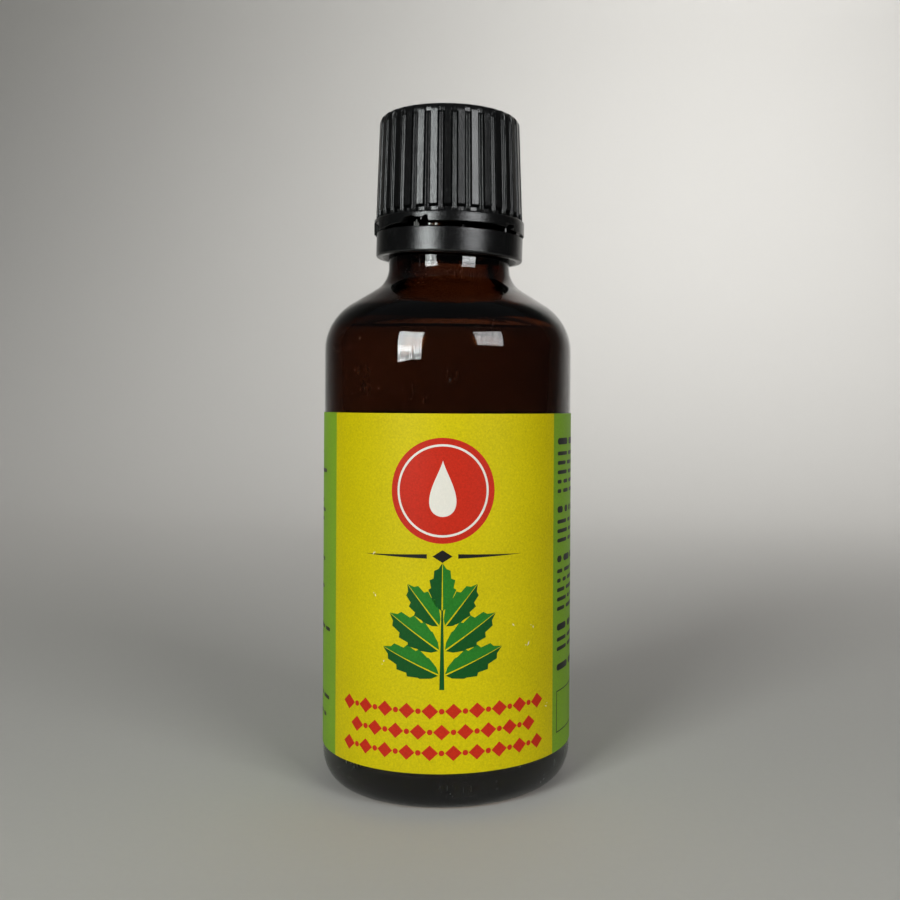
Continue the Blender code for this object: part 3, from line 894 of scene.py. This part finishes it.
def make_dropper_insert():
    flange_bottom = MOUTH + FIT_GAP
    flange_top = flange_bottom + FLANGE_THICKNESS
    nozzle = arc((1.35, NOZZLE_TOP - 0.25), (0.42, 0.25), 90.0, 0.0, 5)
    nozzle += straight((1.78, NOZZLE_TOP - 0.4), (2.9, flange_top + 0.9), 4)
    nozzle += arc((3.9, flange_top + 0.9), (1.0, 0.9), 180.0, 270.0, 5)
    flange = arc((INSERT_RADIUS - 0.2, flange_top - 0.2), (0.2, 0.2), 90.0, 0.0, 4)
    flange += arc((INSERT_RADIUS - 0.15, flange_bottom + 0.15), (0.15, 0.15), 0.0, -90.0, 3)
    stem = straight((STEM_RADIUS, flange_bottom), (STEM_RADIUS, STEM_BOTTOM + 1.4), 12)
    tip = [(STEM_RADIUS - 0.15, STEM_BOTTOM + 0.6), (STEM_RADIUS - 0.4, STEM_BOTTOM + 0.05),
           (STEM_RADIUS - 0.5, STEM_BOTTOM)]
    inside = [(STEM_BORE + 0.1, STEM_BOTTOM), (STEM_BORE, STEM_BOTTOM + 0.1),
              (STEM_BORE, flange_bottom - 0.9), (STEM_BORE - 0.3, flange_bottom - 0.6),
              (NOZZLE_BORE + 0.6, flange_top + 0.9), (NOZZLE_BORE, flange_top + 1.3),
              (NOZZLE_BORE, NOZZLE_TOP - 0.2), (NOZZLE_BORE + 0.2, NOZZLE_TOP)]
    bands = [(nozzle + flange, None), (stem, air_groove), (tip + inside, None)]
    bm = turned_mesh(bands, even_azimuths(120), closed=True)
    finished_object("dropper_plug", bm, [BLACK_PLASTIC], "bottle", ["dropper_insert"])


def make_cap_liner():
    """A sealing disc with a pressed ring where the glass lip meets it."""
    edge = 0.15
    top = [(0.0, LINER_TOP), (LINER_RADIUS - 0.4, LINER_TOP)]
    top += arc((LINER_RADIUS - edge, LINER_TOP - edge), (edge, edge), 90.0, 0.0, 3)
    under = arc((LINER_RADIUS - edge, LINER_BOTTOM + edge), (edge, edge), 0.0, -90.0, 3)
    under += [(2.6, LINER_BOTTOM), (2.3, LINER_BOTTOM + 0.12), (1.0, LINER_BOTTOM + 0.12),
              (0.7, LINER_BOTTOM), (0.0, LINER_BOTTOM)]
    bm = turned_mesh([(top + under, None)], even_azimuths(96))
    finished_object("sealing_disc", bm, [LINER_FOAM], "liner", ["cap_liner"])


# Tamper ring

def ring_frame():
    """Matrix that tilts the ring and lifts it to its height on the neck."""
    tilt = Euler((math.radians(RING_TILT_FRONT_DEG), math.radians(RING_TILT_RIGHT_DEG), 0.0))
    return Matrix.Translation((0.0, 0.0, RING_BOTTOM * MM)) @ tilt.to_matrix().to_4x4()


def ring_edge(azimuth, height):
    """The torn upper edge is a little uneven."""
    turn = math.radians(azimuth)
    ragged = 0.03 * math.sin(turn * 23.0) + 0.025 * math.sin(turn * 57.0 + 1.0) - 0.04
    return 0.0, ragged * eased(height, RING_HEIGHT - 0.3, RING_HEIGHT)


def make_tamper_ring():
    outside = arc((RING_RADIUS - 0.14, RING_HEIGHT - 0.14), (0.14, 0.14), 90.0, 0.0, 4)
    outside += straight((RING_RADIUS, RING_HEIGHT - 0.3), (RING_RADIUS, 0.4), 5)
    outside += arc((RING_RADIUS - 0.3, 0.36), (0.3, 0.36), 0.0, -90.0, 6)
    inside = [(RING_INNER + 0.1, 0.0), (RING_INNER, 0.1), (RING_HOOK + 0.06, 0.8), (RING_HOOK, 0.92),
              (RING_HOOK, 1.28), (RING_HOOK + 0.08, 1.36), (RING_INNER, 1.5), (RING_INNER, RING_HEIGHT - 0.3),
              (RING_INNER, RING_HEIGHT - 0.06), (RING_INNER + 0.06, RING_HEIGHT)]
    bm = turned_mesh([(outside + inside, ring_edge)], even_azimuths(360), closed=True)
    bmesh.ops.transform(bm, matrix=ring_frame(), verts=bm.verts)
    finished_object("tamper_band", bm, [BLACK_PLASTIC], "bottle", ["tamper_ring"])


def torn_stub(bm, azimuth, radius, bottom, top, width, draw):
    """A bridge that was pulled apart: a small tapering post with a ragged tip."""
    rows = 6
    sides = 8
    rings = []
    for row in range(rows + 1):
        share = row / rows
        height = bottom + (top - bottom) * share
        size = width / 2 * (1.0 - 0.35 * share + (0.12 * draw.uniform(-1, 1) if row else 0.0))
        ring = []
        for i in range(sides):
            turn = 2.0 * math.pi * (i + 0.5) / sides
            ragged = draw.uniform(-0.08, 0.08) if row == rows else 0.0
            aside = math.degrees(size * math.cos(turn) / radius)
            ring.append(bm.verts.new(at_azimuth(radius + 0.7 * size * math.sin(turn), azimuth + aside,
                                                height + ragged)))
        rings.append(ring)
    for lower, upper in zip(rings, rings[1:]):
        bridge_rings(bm, lower, upper)
    bm.faces.new(rings[0][::-1])
    bm.faces.new(rings[-1])


def make_ring_stubs():
    """What is left of the bridges on the ring: small posts, and a torn curl in the notch, light grey for
    stress whitening and painted glint.
    """
    draw = random.Random(5)
    middle = (RING_RADIUS + RING_INNER) / 2
    tilt = ring_frame()
    bm = bmesh.new()
    for i in range(BRIDGE_COUNT):
        azimuth = BRIDGE_FIRST_DEG + 360.0 * i / BRIDGE_COUNT
        base = (tilt @ Vector(at_azimuth(middle, azimuth, RING_HEIGHT))).z / MM
        reach = BRIDGE_TOP - 0.1 if i == 0 else min(BRIDGE_TOP - 0.1, base + draw.uniform(0.12, 0.35))
        if reach > base + 0.08:
            torn_stub(bm, azimuth, middle, base - 0.35, reach, 0.55, draw)
    finished_object("ring_bridge_stubs", bm, [BLACK_PLASTIC], "bottle")
    curl = bmesh.new()
    for azimuth, tip, width in CURL_STRANDS:
        torn_stub(curl, azimuth, middle + 0.25, CURL_FOOT, tip, width, draw)
    # The curl's light grey paints the glints on its torn strands, as well as some stress whitening.
    finished_object("torn_curl_painted_glint", curl, [TORN_PLASTIC_PAINTED_GLINT], "bottle")


# Screw cap

def rib_section():
    """(azimuth, kind, depth below the crest, chord) round one rib period: two thin ribs and a panel.
    The chord is the share of the radius that keeps a panel flat between its edges."""
    half_pair = [(0.0, 0.24)]
    for share in (-1.0, -0.9, -0.7, -0.4, 0.0, 0.4, 0.7, 0.9, 1.0):
        roundness = 1.0 - math.sqrt(1.0 - share * share)
        half_pair.append((RIB_MIDDLE_DEG + RIB_HALF_DEG * share, RIB_HEIGHT * roundness))
    pair = [(-offset, "rib", depth) for offset, depth in reversed(half_pair[1:])]
    pair += [(offset, "rib", depth) for offset, depth in half_pair]
    points = [(-2.2, "groove", GROOVE_DEPTH, 1.0)]
    points += [(offset, kind, depth, 1.0) for offset, kind, depth in pair]
    points.append((2.2, "groove", GROOVE_DEPTH, 1.0))
    period = 360.0 / RIB_PERIODS
    middle = period / 2
    flat_half = middle - 2.78
    points.append((2.6, "panel", 0.09, 1.0))
    for step in (-1.0, -0.6, -0.2, 0.2, 0.6, 1.0):
        offset = flat_half * step
        chord = math.cos(math.radians(flat_half)) / math.cos(math.radians(offset))
        points.append((middle + offset, "panel", 0.0, chord))
    points.append((period - 2.6, "panel", 0.09, 1.0))
    return points


def cap_columns():
    """Every column round the cap, from the first rib pair on."""
    period = 360.0 / RIB_PERIODS
    return [
        (FIRST_PAIR_AZIMUTH + i * period + offset, kind, depth, chord)
        for i in range(RIB_PERIODS)
        for offset, kind, depth, chord in rib_section()
    ]


def crest_radius(height):
    """The cap's outer radius, which narrows evenly from the collar to the crown."""
    share = (height - RIBS_BOTTOM) / (RIBS_TOP - RIBS_BOTTOM)
    return CAP_RADIUS_LOW + (CAP_RADIUS_HIGH - CAP_RADIUS_LOW) * share


def cut_depth(azimuth, cut, ragged=0.0):
    """1 inside a cut in the collar, 0 outside it, with slanted and slightly torn ends."""
    away = abs(from_middle(azimuth, cut["middle"]))
    tear = ragged * math.sin(math.radians(azimuth) * 61.0)
    return 1.0 - eased(away + tear, cut["half"] - 0.7, cut["half"] + 0.5)


def skin_rim(azimuth):
    """Lower edge of the collar's outer skin: higher at the front, with three cuts."""
    away = abs(from_middle(azimuth, 0.0))
    rim = COLLAR_RIM_FRONT + (COLLAR_RIM_SIDES - COLLAR_RIM_FRONT) * eased(away, 35.0, 70.0)
    for cut, ragged in ((TORN_NOTCH, 0.8), (BRIDGE_WINDOW, 0.3), (LEFT_RECESS, 0.2)):
        rim += (cut["top"] - rim) * cut_depth(azimuth, cut, ragged)
    torn = cut_depth(azimuth, TORN_NOTCH)
    turn = math.radians(azimuth)
    rough = 0.16 * math.sin(turn * 26.0 + 0.6) + 0.05 * math.sin(turn * 71.0)
    return rim + torn * rough + 0.012 * math.sin(turn * 31.0)


def wall_rim(azimuth):
    """Lower edge of the collar's main wall, cut through at the notch and the window."""
    rim = COLLAR_RIM
    for cut in (TORN_NOTCH, BRIDGE_WINDOW):
        rim += (cut["top"] + 0.05 - rim) * cut_depth(azimuth, cut)
    return rim


def ribbed_ring(height, ribs_out, panels_out, crest=None, fade=1.0, recess=0.0):
    """One level of the ribbed wall. The shares say how far ribs and panels stand out of the groove
    floor, fade shrinks the whole relief towards the crown, and recess sinks all but the ribs."""
    crest = crest_radius(height) if crest is None else crest

    def level(azimuth, kind, depth, chord):
        share = {"rib": ribs_out, "panel": panels_out, "groove": 0.0}[kind]
        below = (GROOVE_DEPTH + (depth - GROOVE_DEPTH) * share) * fade + (0.0 if kind == "rib" else recess)
        flat = 1.0 - (1.0 - chord) * share
        return (crest - below) * flat, height
    return level


def plain_ring(radius, height_of):
    def level(azimuth, kind, depth, chord):
        return radius, height_of(azimuth)
    return level


def cap_outside_levels():
    """Levels from the collar's lower edge up to the crown's centre."""
    skin = COLLAR_RADIUS - 0.02
    levels = [
        plain_ring(COLLAR_WALL_RADIUS - 0.04, lambda a: max(wall_rim(a), skin_rim(a) + 0.02)),
        plain_ring(COLLAR_WALL_RADIUS, lambda a: skin_rim(a) + 0.02),
        plain_ring(COLLAR_WALL_RADIUS + 0.04, skin_rim),
        plain_ring(skin - 0.05, skin_rim),
        plain_ring(skin, lambda a: skin_rim(a) + 0.05),
        plain_ring(skin, lambda a: (skin_rim(a) + COLLAR_SHOULDER) / 2),
        plain_ring(skin, lambda a: COLLAR_SHOULDER - 0.14),
        plain_ring(skin - 0.04, lambda a: COLLAR_SHOULDER - 0.03),
        plain_ring(skin - 0.13, lambda a: COLLAR_SHOULDER + 0.05),
        ribbed_ring(RIBS_BOTTOM - 0.18, 0.7, 0.0, recess=0.3),
        ribbed_ring(RIBS_BOTTOM, 1.0, 0.0, recess=0.3),
        ribbed_ring(PANELS_BOTTOM - 0.3, 1.0, 0.0, recess=0.3),
        ribbed_ring(PANELS_BOTTOM - 0.02, 1.0, 0.8),
        ribbed_ring(PANELS_BOTTOM + 0.06, 1.0, 1.0),
        ribbed_ring(RIBS_TOP - 0.45, 1.0, 1.0),
        ribbed_ring(RIBS_TOP - 0.28, 0.93, 1.0),
        ribbed_ring(RIBS_TOP - 0.12, 0.65, 1.0),
        ribbed_ring(RIBS_TOP, 0.0, 1.0),
    ]
    crown_radius = crest_radius(RIBS_TOP) - CROWN_ROUND
    for angle_deg in (12.0, 26.0, 40.0, 54.0, 68.0, 82.0, 90.0):
        angle = math.radians(angle_deg)
        height = CAP_TOP - CROWN_ROUND + CROWN_ROUND * math.sin(angle)
        levels.append(ribbed_ring(height, 0.0, 1.0, crown_radius + CROWN_ROUND * math.cos(angle),
                                  math.cos(angle) ** 2))
    sunk = CAP_TOP - 0.16
    crown = [(8.45, CAP_TOP), (8.3, CAP_TOP), (8.15, CAP_TOP - 0.05), (7.95, sunk + 0.02), (7.8, sunk),
             (7.6, sunk), (4.5, sunk), (1.3, sunk), (1.1, sunk), (1.0, sunk + 0.04), (0.8, CAP_TOP - 0.05),
             (0.6, CAP_TOP - 0.03), (0.3, CAP_TOP - 0.03)]
    for radius, height in crown:
        levels.append(plain_ring(radius, lambda a, height=height: height))
    return levels


def cap_inside_levels():
    """Levels from the inside of the crown's centre down to the collar's lower edge."""
    seat = LINER_RADIUS
    plain = [(0.4, CROWN_CEILING), (3.0, CROWN_CEILING), (seat, CROWN_CEILING),
             (seat + 0.3, CROWN_CEILING - 0.3), (seat + 0.3, LINER_BOTTOM - 0.1),
             (seat - 0.1, LINER_BOTTOM - 0.3), (seat - 0.1, LINER_BOTTOM - 0.5),
             (CROWN_INNER, LINER_BOTTOM - 0.9), (CROWN_INNER, MOUTH + 1.4)]
    levels = [plain_ring(radius, lambda a, height=height: height) for radius, height in plain]

    def threaded(height):
        def level(azimuth, kind, depth, chord):
            return SKIRT_INNER - thread_relief(azimuth, height, CAP_THREAD), height
        return level

    skirt_top, skirt_bottom = MOUTH + 0.4, RIBS_BOTTOM - 0.25
    steps = 26
    levels += [threaded(skirt_top + (skirt_bottom - skirt_top) * i / steps) for i in range(steps + 1)]
    levels.append(plain_ring(COLLAR_INNER, lambda a: RIBS_BOTTOM - 0.85))
    levels.append(plain_ring(COLLAR_INNER, lambda a: wall_rim(a) + 0.05))
    levels.append(plain_ring(COLLAR_INNER + 0.05, wall_rim))
    return levels


def make_screw_cap():
    bm = bmesh.new()
    columns = cap_columns()
    rings = []
    for level in cap_inside_levels() + cap_outside_levels():
        ring = []
        for azimuth, kind, depth, chord in columns:
            radius, height = level(azimuth, kind, depth, chord)
            ring.append(bm.verts.new(at_azimuth(radius, azimuth, height)))
        rings.append(ring)
    for lower, upper in zip(rings, rings[1:]):
        bridge_rings(bm, lower, upper)
    bm.faces.new(rings[0])
    bm.faces.new(rings[-1])
    finished_object("ribbed_cap", bm, [BLACK_PLASTIC], "cap", ["screw_cap"])


def make_cap_tears():
    """The cap's side of the broken bridges: one post in the window and a scrap in the notch."""
    draw = random.Random(9)
    bm = bmesh.new()
    middle = (COLLAR_INNER + COLLAR_WALL_RADIUS) / 2
    torn_stub(bm, BRIDGE_FIRST_DEG + 0.6, middle, BRIDGE_WINDOW["top"] + 0.2, COLLAR_RIM + 0.1, 0.6, draw)
    azimuth, tip, width = NOTCH_SCRAP
    torn_stub(bm, azimuth, middle + 0.3, TORN_NOTCH["top"] + 0.25, tip, width, draw)
    finished_object("cap_torn_scraps", bm, [BLACK_PLASTIC], "cap")


# Stage, lights and camera

def make_stage_material():
    """Pale matt paper with a faint mottle."""
    made, tree, shader, _ = blank_material("pale_backdrop")
    grain = place_group(tree, PRINT_GRAIN, Colour=(0.58, 0.56, 0.525, 1.0), Scale=900.0, Speckle=0.05)
    tree.links.new(grain.outputs["Colour"], shader.inputs["Base Color"])
    shader.inputs["Roughness"].default_value = 0.75
    shader.inputs["Specular IOR Level"].default_value = 0.2
    return made


def make_stage():
    """A floor that sweeps up into a wall behind the bottle."""
    half_width, near, sweep_start, sweep, top = 1.6, -1.4, 0.30, 0.35, 1.5
    profile = [(near, 0.0), (0.0, 0.0), (sweep_start, 0.0)]
    for i in range(1, 25):
        angle = math.radians(90.0 * i / 24)
        profile.append((sweep_start + sweep * math.sin(angle), sweep * (1.0 - math.cos(angle))))
    profile.append((sweep_start + sweep, top))
    bm = bmesh.new()
    rows = [[bm.verts.new((x, y, z)) for x in (-half_width, half_width)] for y, z in profile]
    for lower, upper in zip(rows, rows[1:]):
        bm.faces.new((lower[0], lower[1], upper[1], upper[0]))
    new_object("pale_stage", smooth_mesh("pale_stage", bm, [make_stage_material()]))


def look_from(azimuth, elevation, distance, target):
    """Matrix of something that stands off a target, in metres, and faces it along its -Z."""
    turn, lift = math.radians(azimuth), math.radians(elevation)
    away = Vector((math.sin(turn) * math.cos(lift), -math.cos(turn) * math.cos(lift), math.sin(lift)))
    facing = (-away).to_track_quat("-Z", "Y").to_matrix().to_4x4()
    return Matrix.Translation(Vector(target) + away * distance) @ facing


def make_diode_material(name, colour, strength):
    """A lamp panel of small bright diodes behind a weak diffuser."""
    made, tree, shader, output = blank_material(name)
    tree.nodes.remove(shader)
    cells = place(tree, "ShaderNodeTexVoronoi", {"Vector": object_space(tree)},
                  {"Scale": 75.0, "Randomness": 0.35})
    spots = ramp(tree, cells.outputs["Distance"], 0.15, 0.55, 2.2 * strength, 0.33 * strength)
    glow = place(tree, "ShaderNodeEmission", {"Strength": spots}, {"Color": (*colour, 1.0)})
    tree.links.new(glow.outputs[0], output.inputs["Surface"])
    return made


def make_lamp_panel(name, azimuth, elevation, distance, spans_deg, colour, strength):
    """A rectangular lamp panel that spans so many degrees across and up, seen from the bottle."""
    width = 2.0 * distance * math.tan(math.radians(spans_deg[0] / 2))
    height = 2.0 * distance * math.tan(math.radians(spans_deg[1] / 2))
    mesh = bpy.data.meshes.new(name)
    corners = [(x * width / 2, y * height / 2, 0.0) for x, y in ((-1, -1), (1, -1), (1, 1), (-1, 1))]
    mesh.from_pydata(corners, [], [(0, 1, 2, 3)])
    mesh.materials.append(make_diode_material(name + "_glow", colour, strength))
    made = new_object(name, mesh)
    made.matrix_world = look_from(azimuth, elevation, distance, (0.0, 0.0, LAMPS_AIM * MM))
    made.visible_camera = False
    made.visible_shadow = False


def make_soft_light(name, place_m, target, size, spread_deg, power, colour):
    """An area light at a place in metres, aimed at a target, with a limited beam."""
    light = bpy.data.lights.new(name, "AREA")
    light.shape = "RECTANGLE"
    light.size, light.size_y = size
    light.spread = math.radians(spread_deg)
    light.energy = power
    light.color = colour
    made = new_object(name, light)
    aim = (Vector(target) - Vector(place_m)).to_track_quat("-Z", "Y").to_matrix().to_4x4()
    made.matrix_world = Matrix.Translation(Vector(place_m)) @ aim
    made.visible_camera = False
    made.visible_glossy = False


def make_world():
    """A dim room, a little lighter overhead."""
    world = bpy.data.worlds.new("studio_air")
    world.use_nodes = True
    tree = world.node_tree
    background = tree.nodes["Background"]
    where = place(tree, "ShaderNodeTexCoord").outputs["Generated"]
    parts = place(tree, "ShaderNodeSeparateXYZ", {"Vector": where})
    glow = ramp(tree, parts.outputs["Z"], 0.2, 1.0, 0.02, 0.07, interpolation_type="SMOOTHSTEP")
    background.inputs["Color"].default_value = (0.95, 0.97, 1.0, 1.0)
    tree.links.new(glow, background.inputs["Strength"])
    bpy.context.scene.world = world


def make_lights():
    make_lamp_panel("lamp_panel_left", azimuth=-31.0, elevation=15.7, distance=0.45,
                    spans_deg=(22.0, 25.6), colour=(0.95, 1.0, 0.99), strength=14.0)
    make_lamp_panel("lamp_panel_right", azimuth=41.0, elevation=17.9, distance=0.45,
                    spans_deg=(25.0, 24.2), colour=(0.97, 0.99, 1.0), strength=8.0)
    make_soft_light("wall_light", place_m=(0.27, 0.20, 0.80), target=(0.13, 0.60, 0.25), size=(0.35, 0.25),
                    spread_deg=92.0, power=1.95, colour=(0.97, 0.98, 1.0))
    make_world()


def make_camera():
    data = bpy.data.cameras.new("camera")
    data.sensor_width = 36.0
    data.lens = CAMERA_LENS
    data.shift_x, data.shift_y = CAMERA_SHIFT
    data.clip_start = 0.01
    made = new_object("camera", data)
    level = Matrix.Rotation(math.pi / 2 - CAMERA_PITCH, 4, "X")
    roll = Matrix.Rotation(CAMERA_ROLL, 4, "Z")
    made.matrix_world = Matrix.Translation(Vector(CAMERA_PLACE) * MM) @ level @ roll
    bpy.context.scene.camera = made


make_glass_bottle()
make_tincture()
make_label_paper()
make_badge()
make_sprig()
make_divider()
make_red_band()
make_side_print()
make_label_scuffs()
make_dropper_insert()
make_cap_liner()
make_tamper_ring()
make_ring_stubs()
make_screw_cap()
make_cap_tears()
make_stage()
make_lights()
make_camera()
bpy.context.scene.view_settings.view_transform = "Standard"
